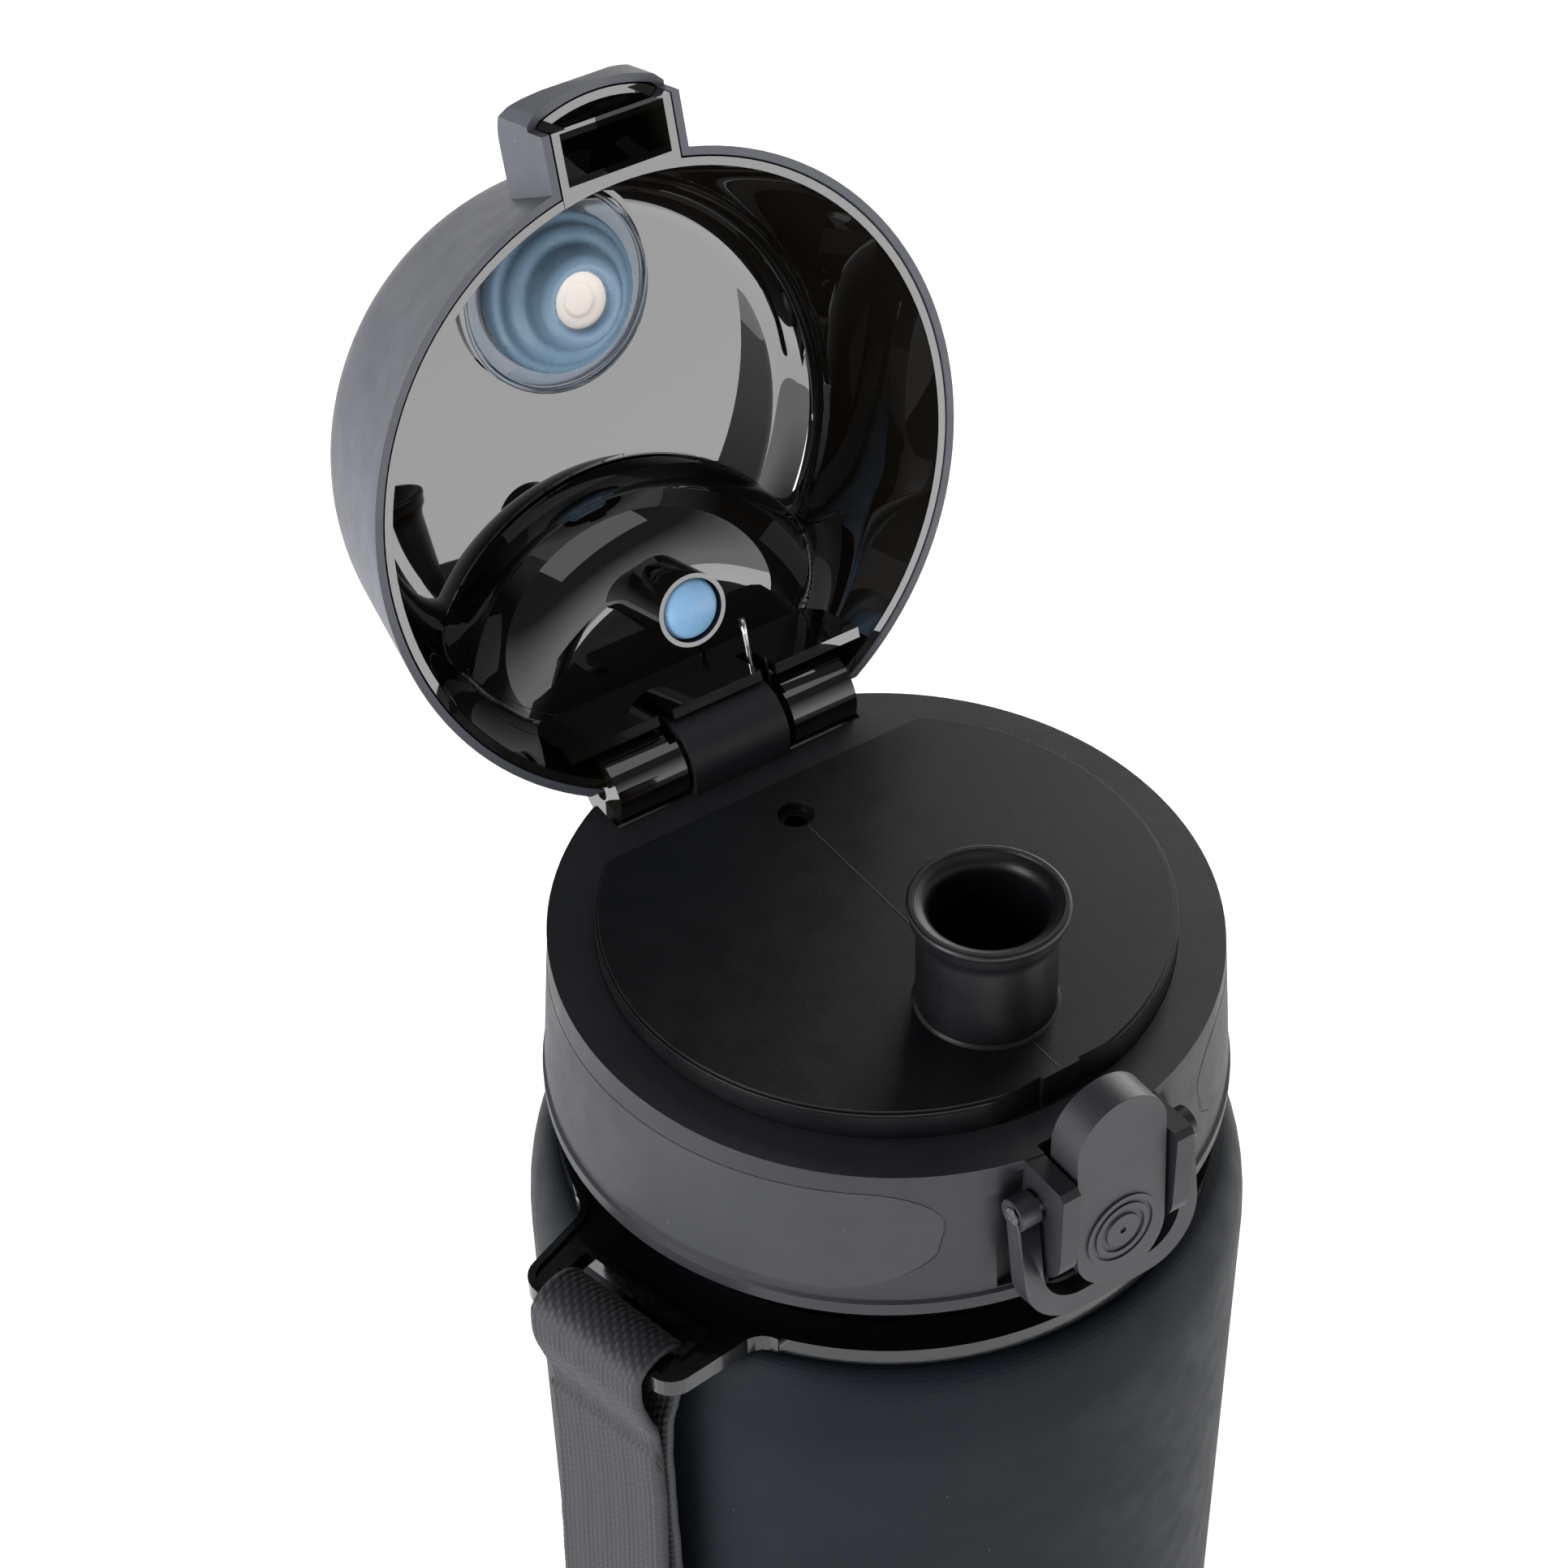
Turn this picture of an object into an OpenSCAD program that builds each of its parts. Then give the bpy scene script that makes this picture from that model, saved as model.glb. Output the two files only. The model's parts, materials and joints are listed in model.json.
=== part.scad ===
/* [Bottle] */
// Outer diameter of the bottle body
body_d = 76.6; // [75:0.2:80]
// Height of the collar's top rim above the base
collar_top_z = 206; // [190:1:230]
// Wall thickness of the bottle
wall = 1.8; // [1.4:0.1:2.4]
// Outer diameter of the bottle's neck
neck_d = 59; // [58:0.5:59.4]

/* [Cap] */
// Outer diameter of the collar at its top rim
collar_d = 68; // [67:0.5:69]
// Outer diameter of the collar at its lower edge
collar_foot_d = 71.2; // [70:0.2:72]
// Height of the collar
collar_h = 19.6; // [19:0.1:20]
// Slope of the collar's top rim, higher at the hinge
rim_tilt = 2.13; // [1.8:0.01:2.4]
// Diameter of the raised deck that carries the spout
deck_d = 58.4; // [58:0.1:58.6]
// Height of the deck above the collar's rim
deck_rise = 2.3; // [2:0.1:2.6]
// Distance of the spout forward of the bottle's axis
spout_offset = 16.7; // [16:0.1:17.4]
// Height of the spout above the deck
spout_h = 12.9; // [12:0.1:13.5]
// Outer diameter of the spout's lip
lip_d = 15.8; // [15:0.1:16.4]
// Inner diameter of the spout's mouth
mouth_d = 12; // [11:0.1:12.4]

/* [Lid] */
// Angle that the lid stands open from closed
lid_open = 105.8; // [95:0.1:106]
// Height of the lid's dome above its rim
lid_h = 34; // [32:0.5:36]
// Distance of the hinge axis behind the bottle's axis
hinge_y = 30.1; // [30:0.1:30.3]
// Height of the hinge axis above the collar's rim
hinge_z = 3; // [2.9:0.1:3.2]
// Diameter of the hinge pin
hinge_pin_d = 2.2; // [1.8:0.1:2.6]

/* [Latch] */
// Width of the pill-shaped latch button
latch_w = 10.6; // [10:0.1:10.8]
// Height of the latch button
latch_h = 23.2; // [23:0.1:23.4]
// Diameter of the pin that carries the latch and the bail
latch_pin_d = 1.8; // [1.4:0.1:2]
// Distance from the bail's pivot to the middle of its bar
bail_reach = 13.6; // [13.4:0.1:13.7]

/* [Carrying] */
// Outer diameter of the carry ring
ring_d = 69.4; // [68:0.2:70]
// Direction of the ring's tab, forward from the left side
tab_turn = 13; // [0:1:20]
// Width of the webbing strap
strap_w = 15; // [12:0.5:15]
// Drop of the strap loop below the ring
strap_drop = 128; // [80:1:150]

/* [Hidden] */
$fn = 96;
gap = 0.05;                      // gap of a running fit, each side
loose = 0.3;                     // gap between parts that only pass each other
top = collar_top_z;
body_r = body_d / 2;
neck_r = neck_d / 2;
collar_r = collar_d / 2;
collar_foot_r = collar_foot_d / 2;
deck_r = deck_d / 2;
deck_top = top + deck_rise;
deck_chord = 21.5;               // the deck stops short of the hinge here
deck_foot = top - 3.6;           // underside of the deck, which seals the neck
deck_step = top - 1.6;           // the deck is round below this height
deck_flat = 28.2;                // distance of the deck's flat front from the axis
neck_top = top - 5;
shoulder_top = top - 27.9;
shoulder_h = 11.4;
shoulder_r = 34.6;
base_round = 5;
bore_r = 30.6;                   // the collar's bore clears the neck's thread
thread_r = 30.3;
collar_foot = top - collar_h;
foot_band = 2.2;                 // chamfered band round the collar's lower edge
spout_top = deck_top + spout_h;
spout_r = 6.9;
vent_y = 15.9;
knuckle_r = 4.6;
knuckle_w = 11.8;
barrel_r = 4.2;
barrel_in = 6.4;                 // inner end of each lid barrel
barrel_out = 14.8;
lid_skin = 0.85;                 // thickness of the lid's outer shell
skin_gap = 0.2;                  // dark line between the shell and the liner
lid_wall = 1.9;                  // shell and liner together
lid_flat = 20;                   // height of the liner's flat ceiling
shelf_h = 9.6;                   // height of the lower shelf beside the hinge
shelf_r = 25.4;                  // the shelf's edge is an arc about a point by the hinge
shelf_y = 30;
shelf_round = 10;                // width of the rounded slope from the shelf to its edge
hood_w = 15.4;
hood_front = 41.5;
hood_h = 9.6;
hood_round = 5.2;                // radius of the hood's front top edge
hood_plan_r = 18;                // radius of the hood's front in plan
hood_corner_r = 10.3;            // and of its corners, about a point nearer the dome
hood_corner_y = 32.4;
hood_tips = 38.8;                // the hood's side walls end here, and its front is cut back
hood_cut = 3;                    // height of that cut
catch_y = 33.2;                  // outer face of the catch rib
pivot_y = -35.1;                 // axis of the latch and bail
pivot_z = top - 5.6;
latch_face = 38.3;
latch_back = 33.9;
latch_top = top + 5.7;
latch_lean = 3.4;
ear_in = 5.75;
ear_out = 7.8;
ear_front = 39.2;
bail_arm_in = 8.3;
bail_arm_out = 10.5;
bail_t = 2.2;
bail_lean = 8.5;
ring_t = 1.6;
ring_top = top - 25.9;
ring_r = ring_d / 2;
ring_hole_r = 30.5;
ring_lip = 0.5;
tab_reach = 43.5;
tab_half = 10.9;                 // half the tab's width at its outer end
tab_root = 11.8;                 // half the tab's width where it leaves the ring
tab_round = 2.8;
pocket_out = 15.3;               // outer end of the hinge pockets
well_back = 32.4;                // back of the well behind the button
spring_x = 6.4;                  // the torsion spring's leg, beside the knuckle
spring_side_in = 6.9;
spring_r = 2.1;
chord_wall_y = 24;
rim_gap = 0.3;                   // the closed lid stops this far above the rim
dome_r = 29.2;                   // radius where the dome's side ends
dome_side_h = 19;
dome_round = lid_h - 15;
slot_near = 36.6;
slot_far = 39.8;
slot_w = 15.6;
strap_t = 1.2;
strap_half = strap_t / 2;
bar_mid = (slot_far + tab_reach) / 2;
bar_half = (tab_reach - slot_far) / 2 + loose + 0.15 + strap_half;

function arc(cx, cy, rx, ry, a0, a1, n) =
    [for (i = [0:n]) let (a = a0 + (a1 - a0) * i / n) [cx + rx * cos(a), cy + ry * sin(a)]];

// Places its children on the sloping rim, where the closed lid sits.
module on_rim() { translate([0, 0, top]) rotate([rim_tilt, 0, 0]) children(); }

// Swings its children from the closed lid to the open one.
module open_lid() {
    translate([0, hinge_y, top + hinge_z]) rotate([-lid_open, 0, 0])
        translate([0, -hinge_y, -top - hinge_z]) children();
}

module along_x(x0, x1, y, z, r) {
    translate([x0, y, z]) rotate([0, 90, 0]) cylinder(r = r, h = x1 - x0);
}

module bottle_body() {
    shoulder = arc(shoulder_r, shoulder_top - shoulder_h, body_r - shoulder_r, shoulder_h, 0, 90, 16);
    inner_shoulder = arc(shoulder_r - 2, shoulder_top - shoulder_h, body_r - wall - shoulder_r + 2,
                         shoulder_h - wall, 90, 0, 16);
    color("#2b3038") difference() {
        union() {
            rotate_extrude() polygon(concat(
                [[0, 0]],
                arc(body_r - base_round, base_round, base_round, base_round, 270, 360, 8),
                shoulder,
                [[neck_r, shoulder_top], [neck_r, neck_top], [neck_r - wall, neck_top],
                 [neck_r - wall, shoulder_top - wall]],
                inner_shoulder,
                arc(body_r - base_round, base_round + 0.4, base_round - wall, base_round - wall,
                    360, 270, 8),
                [[0, 2.2]]));
            for (z = [neck_top - 3.5, neck_top - 7.5]) translate([0, 0, z - 1])
                difference() {
                    rotate_extrude() polygon([[neck_r - 0.5, -0.6], [thread_r, 0.3],
                                              [thread_r, 1], [neck_r - 0.5, 1.9]]);
                    cube([8, 2 * body_r, 8], center = true);
                }
        }
        // a shallow ring under the base
        rotate_extrude() polygon([[24, -1], [24, 0], [22, 0.8], [14, 0.8], [12, 0], [12, -1]]);
    }
}

module neck_gasket() {
    color("#c9ced4") translate([0, 0, neck_top + gap]) difference() {
        cylinder(r = neck_r - 0.4, h = deck_foot - neck_top - 2 * gap);
        translate([0, 0, -1]) cylinder(r = neck_r - wall - 0.3, h = 9);
    }
}

// Outline of the deck and of its seat in the collar: a circle cut by a chord.
module deck_outline(r, chord) {
    intersection() {
        circle(r = r);
        translate([-r, -2 * r + chord]) square([2 * r, 2 * r]);
    }
}

function collar_radius(z) = collar_r + (collar_foot_r - collar_r) * (top - z) / collar_h;

// The leaf-shaped outline of a grip panel, seen from the side.
module leaf(grow) {
    half_h = 6.3 + grow;
    points = concat(
        [[-20, half_h]], arc(-26.6, 1.6, 4.4 + grow, half_h - 1.6, 90, 180, 8),
        arc(-24, -0.6, 7 + grow, half_h - 0.6, 190, 270, 8),
        arc(18, 0, 9 + grow, half_h, -90, 90, 12));
    translate([0, top - 9.5]) polygon(points);
}

module grip_blank(side, grow) {
    deep = 0.8 + grow;
    intersection() {
        rotate_extrude() polygon([
            [collar_radius(top) - deep, top], [collar_radius(top) + grow, top],
            [collar_radius(top - 18) + grow, top - 18], [collar_radius(top - 18) - deep, top - 18]]);
        rotate([90, 0, 90]) translate([0, 0, side > 0 ? 5 : -45]) linear_extrude(40) leaf(grow);
    }
}

module grip_left() { color("#3a3c40") grip_blank(-1, 0); }

module grip_right() { color("#3a3c40") grip_blank(1, 0); }

// Side view of one of the two ears that carry the latch pin.
module ear_outline() {
    polygon(concat(
        [[-32, top - 1.4], [-ear_front + 0.6, top - 1.4], [-ear_front, top - 2]],
        arc(-ear_front + 4, top - 10.8, 4, 3.7, 180, 260, 6),
        [[-32, top - 14.5]]));
}

module latch_ears() {
    for (s = [-1, 1])
        rotate([90, 0, 90]) translate([0, 0, s > 0 ? ear_in : -ear_out])
            linear_extrude(ear_out - ear_in) ear_outline();
}

module knuckle() {
    along_x(-knuckle_w / 2, knuckle_w / 2, hinge_y, top + hinge_z, knuckle_r);
    translate([-knuckle_w / 2, hinge_y - knuckle_r, top - 1.4])
        cube([knuckle_w, 2 * knuckle_r - 1.4, hinge_z + 1.4]);
}

// The collar before its ears and knuckle are added.
module collar_wall() {
    difference() {
        rotate_extrude() polygon([
            [0, collar_foot], [collar_foot_r - 0.7, collar_foot],
            [collar_foot_r, collar_foot + 0.7], [collar_foot_r, collar_foot + foot_band],
            [collar_foot_r - 0.35, collar_foot + foot_band + 0.3],
            [collar_r, top], [collar_r, top + 3], [0, top + 3]]);
        // the bore over the neck, and the deck's seat above it
        translate([0, 0, collar_foot - 1]) cylinder(r = bore_r, h = neck_top - collar_foot + 1);
        translate([0, 0, neck_top - 0.5])
            cylinder(r = deck_r + gap, h = deck_step - neck_top + 0.5);
        translate([0, 0, deck_step - 0.5]) linear_extrude(9)
            deck_outline(deck_r + gap, deck_chord + gap);
        on_rim() translate([-60, -60, 0]) cube([120, 120, 20]);
        // hinge pockets for the lid's barrels, deeper behind the pin
        for (s = [-1, 1]) {
            along_x(s > 0 ? knuckle_w / 2 : -pocket_out, s > 0 ? pocket_out : -knuckle_w / 2,
                    hinge_y, top + hinge_z, knuckle_r);
            intersection() {
                along_x(s > 0 ? knuckle_w / 2 : -19, s > 0 ? 19 : -knuckle_w / 2,
                        hinge_y, top + hinge_z, 6.1);
                translate([-20, hinge_y, top - 6]) cube([40, 12, 20]);
            }
        }
        // recesses behind the bail's arms, and the well behind the button
        recess_w = bail_arm_out + loose - ear_out;
        for (s = [-1, 1]) translate([s > 0 ? ear_out : -ear_out - recess_w, -40, top - 17])
            cube([recess_w, 7, 14.6]);
        translate([-ear_in, -45, top - 18.2]) cube([2 * ear_in, 45 - well_back, 20]);
        for (s = [-1, 1]) grip_blank(s, gap);
    }
}

module collar() {
    color("#35373b") difference() {
        union() {
            collar_wall();
            latch_ears();
            knuckle();
        }
        along_x(-8, 8, hinge_y, top + hinge_z, hinge_pin_d / 2);
        along_x(-9, 9, pivot_y, pivot_z, latch_pin_d / 2);
    }
}

module spout_deck() {
    tongue_w = 4.4;
    color("#26282b") difference() {
        union() {
            translate([0, 0, deck_foot]) cylinder(r = deck_r, h = deck_step - deck_foot);
            translate([0, 0, deck_step]) linear_extrude(deck_top - 0.5 - deck_step)
                deck_outline(deck_r, deck_chord);
            translate([0, 0, deck_top - 0.5]) linear_extrude(0.25)
                deck_outline(deck_r - 0.15, deck_chord - 0.15);
            translate([0, 0, deck_top - 0.25]) linear_extrude(0.25)
                deck_outline(deck_r - 0.45, deck_chord - 0.45);
            translate([0, -spout_offset, 0]) rotate_extrude() polygon(concat(
                [[3, deck_top - 1], [spout_r + 0.3, deck_top - 1], [spout_r + 0.3, deck_top],
                 [spout_r, deck_top + 0.3]],
                arc(spout_r + 2, spout_top - 3.6, 2, 2.4, 180, 130, 5),
                arc(lip_d / 2 - 0.35, spout_top - 0.45, 0.35, 0.45, -60, 80, 5),
                [[3, spout_top - 0.1]]));
        }
        // hollow underside over the neck
        translate([0, 0, deck_foot - 1]) cylinder(r = neck_r - wall - 0.9, h = 4.6);
        // the drinking channel with its rounded lip
        translate([0, -spout_offset, 0]) {
            translate([0, 0, deck_foot]) cylinder(r = mouth_d / 2 - 0.6, h = 30);
            rotate_extrude() polygon(concat(
                [[0, spout_top - 9], [mouth_d / 2 - 0.6, spout_top - 9],
                 [mouth_d / 2 - 0.3, spout_top - 2.4]],
                arc(mouth_d / 2 + 1.2, spout_top - 1.8, 1.5, 1.6, 180, 95, 6),
                [[lip_d / 2, spout_top + 1], [0, spout_top + 1]]));
        }
        // stepped vent hole
        translate([0, vent_y, deck_foot]) cylinder(r = 1.2, h = 9);
        translate([0, vent_y, deck_top - 1.2]) cylinder(r = 1.95, h = 3);
        // flat front with a small tongue in its middle
        for (x = [-10, tongue_w / 2]) translate([x, -deck_flat - 2, deck_step + 0.1])
            cube([10 - tongue_w / 2, 2, 6]);
        translate([-3, -deck_flat - 2.4, deck_step + 0.1]) cube([6, 2, 6]);
    }
}

module hinge_pin() {
    pin_half = barrel_out - 0.6;
    color("#b9bcc0") along_x(-pin_half, pin_half, hinge_y, top + hinge_z, hinge_pin_d / 2);
}

// A round wire swept along points, closed at both ends; side vectors stay across the path.
module wire(path, r, across, sides = 8) {
    last = len(path) - 1;
    function unit(v) = v / norm(v);
    function heading(i) = unit(path[min(i + 1, last)] - path[max(i - 1, 0)]);
    rings = [for (i = [0:last])
        let (d = heading(i), u = unit(cross(d, across)), v = cross(d, u))
        [for (k = [0:sides - 1]) path[i] + r * (cos(360 * k / sides) * u + sin(360 * k / sides) * v)]];
    points = [for (ring = rings) for (p = ring) p];
    polyhedron(points = points, faces = concat(
        [[for (k = [0:sides - 1]) k]],
        [for (i = [0:last - 1]) for (k = [0:sides - 1])
            [i * sides + k, (i + 1) * sides + k,
             (i + 1) * sides + (k + 1) % sides, i * sides + (k + 1) % sides]],
        [[for (k = [sides - 1:-1:0]) last * sides + k]]), convexity = 6);
}

function coil_x(x0, pitch, turns, r, y, z, a0, steps) =
    [for (i = [0:turns * steps]) let (a = a0 + 360 * i / steps)
        [x0 + pitch * i / steps, y + r * cos(a), z + r * sin(a)]];

// The coil lies in the right-hand barrel, and its free leg rests on the liner.
module torsion_spring() {
    coil = coil_x(spring_x, 0.95, 6, spring_r, hinge_y, top + hinge_z, 90, 20);
    leg = [[spring_x, hinge_y - 10.6, top + hinge_z + spring_r],
           [spring_x, hinge_y - 4, top + hinge_z + spring_r],
           [spring_x, hinge_y - 1, top + hinge_z + spring_r]];
    color("#c4c7ca") open_lid() wire(concat(leg, coil), 0.35, [1, 0.02, 0.05]);
}

function dome_side(inset, h) = collar_r - inset - (collar_r - dome_r) * h / dome_side_h;

// Half profile of the lid's dome, set inwards by a given thickness.
module dome_profile(inset) {
    a = atan((collar_r - dome_r) / dome_side_h);
    r = dome_round - inset;
    polygon(concat(
        [[0, rim_gap], [dome_side(inset, rim_gap), rim_gap]],
        arc(dome_r - dome_round * cos(a), dome_side_h - dome_round * sin(a), r, r, a, 90, 18),
        [[0, dome_side_h - dome_round * sin(a) + r]]));
}

// The hood over the latch, as a solid set inwards by a given thickness.
module hood(inset) {
    round = hood_round - inset;
    half_w = hood_w / 2 - inset;
    intersection() {
        translate([0, 0, -2]) linear_extrude(hood_h + 6) intersection() {
            translate([0, -hood_front + hood_plan_r]) circle(r = hood_plan_r - inset);
            union() {
                translate([0, -hood_corner_y]) circle(r = hood_corner_r - inset);
                translate([-half_w, -hood_corner_y]) square([2 * half_w, 12]);
            }
            translate([-half_w, -hood_front - 1]) square([2 * half_w, 20]);
        }
        rotate([90, 0, 90]) translate([0, 0, -20]) linear_extrude(40) polygon(concat(
            [[-24, rim_gap], [-hood_front + inset, rim_gap]],
            arc(-hood_front + inset + round, hood_h - inset - round, round, round, 180, 90, 8),
            [[-24, hood_h - inset]]));
    }
}

// What is cut away from the front of the hood's rim.
module hood_notch() {
    translate([-12, -hood_tips - 12, -3]) cube([24, 12, hood_cut + 3]);
}

// The hood's hollow, open downwards.
module hood_hollow(inset) {
    hood(inset);
    translate([0, 0, -2]) hood(inset);
}

// What the lid leaves free for the knuckle and for the collar's back edge.
module hinge_clearance() {
    along_x(-6.5, 6.5, hinge_y, top + hinge_z, 5);
    translate([-60, hinge_y - 0.6, top - 6]) cube([120, 30, 11]);
}

module lid_shell() {
    color("#4b4e54") open_lid() difference() {
        on_rim() difference() {
            union() {
                rotate_extrude() dome_profile(0);
                hood(0);
            }
            union() {
                translate([0, 0, -1]) rotate_extrude() dome_profile(lid_skin);
                rotate_extrude() dome_profile(lid_skin);
                hood_hollow(lid_skin);
            }
            hood_notch();
        }
        hinge_clearance();
        along_x(-barrel_out - loose, barrel_out + loose, hinge_y, top + hinge_z,
                barrel_r + skin_gap);
    }
}

// Half profile of the liner: the wall's solid, or with hollow true, the space inside it.
module liner_profile(hollow) {
    inset = hollow ? lid_wall : lid_skin + skin_gap;
    ceiling = hollow ? lid_flat : lid_flat + 1.2;
    low = hollow ? -2 : rim_gap + 0.1;
    round = 5;
    polygon(concat(
        [[0, low], [dome_side(inset, low), low]],
        arc(dome_side(inset, ceiling - round) - round, ceiling - round, round, round, 0, 90, 8),
        [[0, ceiling]]));
}

// The space behind the liner's shelf, grown or shrunk by the liner's own thickness.
module shelf_block(thin) {
    r = shelf_r - thin;
    low = shelf_h + thin;
    translate([0, shelf_y, 0]) rotate_extrude() polygon(concat(
        [[0, low]], arc(r - shelf_round, lid_flat, shelf_round, lid_flat - low, 270, 360, 12),
        [[r, lid_flat + 9], [0, lid_flat + 9]]));
}

module lid_barrels() {
    for (s = [-1, 1]) {
        x0 = s > 0 ? spring_side_in : -barrel_out;
        x1 = s > 0 ? barrel_out : -barrel_in;
        along_x(x0, x1, hinge_y, top + hinge_z, barrel_r);
        // web that joins the barrel to the liner's chord wall
        translate([x0, chord_wall_y, top + hinge_z])
            cube([x1 - x0, 3.2, barrel_r - 0.2]);
    }
}

module lid_liner() {
    color("#141210") open_lid() difference() {
        union() {
            difference() {
                on_rim() difference() {
                    union() {
                        difference() {
                            rotate_extrude() liner_profile(false);
                            shelf_block(1.2);
                        }
                        hood(lid_skin + skin_gap);
                    }
                    difference() {
                        rotate_extrude() liner_profile(true);
                        shelf_block(0);
                    }
                    difference() {
                        hood_hollow(lid_wall);
                        rotate_extrude() liner_profile(false);
                        translate([-8, -catch_y, 0]) cube([16, 3, 2.2]);
                    }
                    hood_notch();
                }
                hinge_clearance();
            }
            // chord wall in front of the hinge
            intersection() {
                translate([-18, chord_wall_y, top + 1.4]) cube([36, 1.2, 16]);
                on_rim() rotate_extrude() liner_profile(false);
            }
            lid_barrels();
            // boss that holds the vent plug
            translate([0, vent_y - 0.6, deck_top + 0.9]) cylinder(r = 4, h = shelf_h - 1.8);
            // bead round the spout plug's seat
            on_rim() intersection() {
                translate([0, -spout_offset, lid_flat - 0.6]) difference() {
                    cylinder(r = 11.3, h = 1);
                    translate([0, 0, -1]) cylinder(r = 10.7, h = 3);
                }
                rotate_extrude() liner_profile(false);
            }
        }
        along_x(-20, 20, hinge_y, top + hinge_z, hinge_pin_d / 2 + gap);
        // room for the torsion spring and its leg
        along_x(spring_side_in - 1, spring_side_in + 6.4, hinge_y, top + hinge_z, spring_r + 0.8);
        for (x = [-spring_x, spring_x]) translate([x - 0.9, chord_wall_y - 1, top - 2])
            cube([1.8, 4, 8.6]);
        // socket for the vent plug
        translate([0, vent_y - 0.6, deck_top]) cylinder(r = 3.5, h = 3);
        along_x(-6.5, 6.5, hinge_y, top + hinge_z, 5);
    }
}

module spout_plug() {
    color("#b9cbd8", 0.9) open_lid() difference() {
        intersection() {
            translate([0, -spout_offset, spout_top]) rotate_extrude() polygon(concat(
                [[0, -2], [4.2, -2]], arc(4.4, -1.2, 0.8, 0.8, 270, 360, 4),
                [[5.2, 0.3], [6.9, 0.3]], arc(6.9, 0.8, 0.5, 0.5, 270, 360, 4),
                [[7.4, 1.7], [8.5, 2.2], [8.5, 6], [0, 6]]));
            on_rim() rotate_extrude() liner_profile(true);
        }
        translate([0, -spout_offset, spout_top - 3]) cylinder(r = 2.8, h = 3.4);
    }
}

module vent_plug() {
    color("#b7d0e4") open_lid() translate([0, vent_y - 0.6, deck_top + loose]) intersection() {
        cylinder(r = 3.45, h = 2.6);
        translate([0, 0, 9]) sphere(r = 9.2);
    }
}

// The pill-shaped outline of the button, seen from the front.
module pill() {
    r = latch_w / 2;
    translate([0, latch_top - r]) circle(r = r);
    translate([0, latch_top - latch_h + r]) circle(r = r);
    translate([-r, latch_top - latch_h + r]) square([latch_w, latch_h - latch_w]);
}

module latch_button() {
    lower = latch_top - latch_h;
    color("#3d4045") difference() {
        union() {
            difference() {
                translate([0, -latch_back, 0]) rotate([90, 0, 0]) linear_extrude(9) pill();
                // the face leans out towards the bottom
                translate([-20, -latch_face, pivot_z]) rotate([-latch_lean, 0, 0])
                    translate([0, -12, -40]) cube([40, 12, 80]);
                // the lower half is a thin plate
                translate([-20, -36.2, lower - 5]) cube([40, 6, pivot_z - 2.2 - lower + 5]);
            }
            along_x(-latch_w / 2 + 0.2, latch_w / 2 - 0.2, pivot_y, pivot_z, 1.9);
            press_rings();
        }
        along_x(-9, 9, pivot_y, pivot_z, latch_pin_d / 2 + gap);
    }
}

// Raised rings and a domed centre that mark where to press.
module press_rings() {
    translate([0, -latch_face - 0.3, top - 11]) rotate([90 - latch_lean, 0, 0]) {
        for (r = [4.2, 3.2]) difference() {
            translate([0, 0, -0.6]) cylinder(r = r, h = 0.85);
            translate([0, 0, -1]) cylinder(r = r - 0.6, h = 3);
        }
        difference() {
            translate([0, 0, -0.6]) cylinder(r1 = 2.2, r2 = 1.9, h = 0.9);
            cylinder(r = 0.35, h = 1);
        }
    }
}

module latch_spring() {
    path = [for (i = [0:72]) let (a = 20 * i)
        [1.7 * cos(a), -well_back - 0.55 - 2.3 * i / 72, top - 11.5 + 1.7 * sin(a)]];
    color("#c4c7ca") wire(path, 0.22, [0.02, 1, 0.05], 6);
}

module latch_pin() {
    color("#b9bcc0") along_x(-bail_arm_out - 0.1, bail_arm_out + 0.1, pivot_y, pivot_z,
                             latch_pin_d / 2);
}

// The bail's outline from the front, with its pivot at the origin.
module bail_outline() {
    bottom = -bail_reach - bail_t / 2;
    difference() {
        polygon(concat([[bail_arm_out, 0.6]],
            arc(bail_arm_out - 6.4, bottom + 6.4, 6.4, 6.4, 360, 270, 10),
            arc(-bail_arm_out + 6.4, bottom + 6.4, 6.4, 6.4, 270, 180, 10),
            [[-bail_arm_out, 0.6]]));
        polygon(concat([[bail_arm_in, 2]],
            arc(bail_arm_in - 4.4, bottom + bail_t + 4.4, 4.4, 4.4, 360, 270, 10),
            arc(-bail_arm_in + 4.4, bottom + bail_t + 4.4, 4.4, 4.4, 270, 180, 10),
            [[-bail_arm_in, 2]]));
    }
}

module lock_bail() {
    color("#4a4c50") difference() {
        union() {
            translate([0, pivot_y, pivot_z]) rotate([90 - bail_lean, 0, 0])
                translate([0, 0, -bail_t / 2]) linear_extrude(bail_t) bail_outline();
            for (s = [-1, 1])
                along_x(s > 0 ? bail_arm_in : -bail_arm_out, s > 0 ? bail_arm_out : -bail_arm_in,
                        pivot_y, pivot_z, 1.7);
        }
        along_x(-12, 12, pivot_y, pivot_z, latch_pin_d / 2 + gap);
    }
}

// The tab's edge, straight out along +X before it is turned, set inwards by a distance.
function tab_edge(inset) =
    let (r = tab_round - inset, hollow_r = tab_round + inset)
    concat(
        [[ring_r - 8, -tab_root - 2]],
        arc(ring_r, -tab_root - tab_round, hollow_r, hollow_r, 170, 90, 5),
        arc(tab_reach - tab_round, tab_round - tab_half, r, r, 275, 360, 6),
        arc(tab_reach - tab_round, tab_half - tab_round, r, r, 0, 85, 6),
        arc(ring_r, tab_root + tab_round, hollow_r, hollow_r, 270, 190, 5),
        [[ring_r - 8, tab_root + 2]]);

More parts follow.
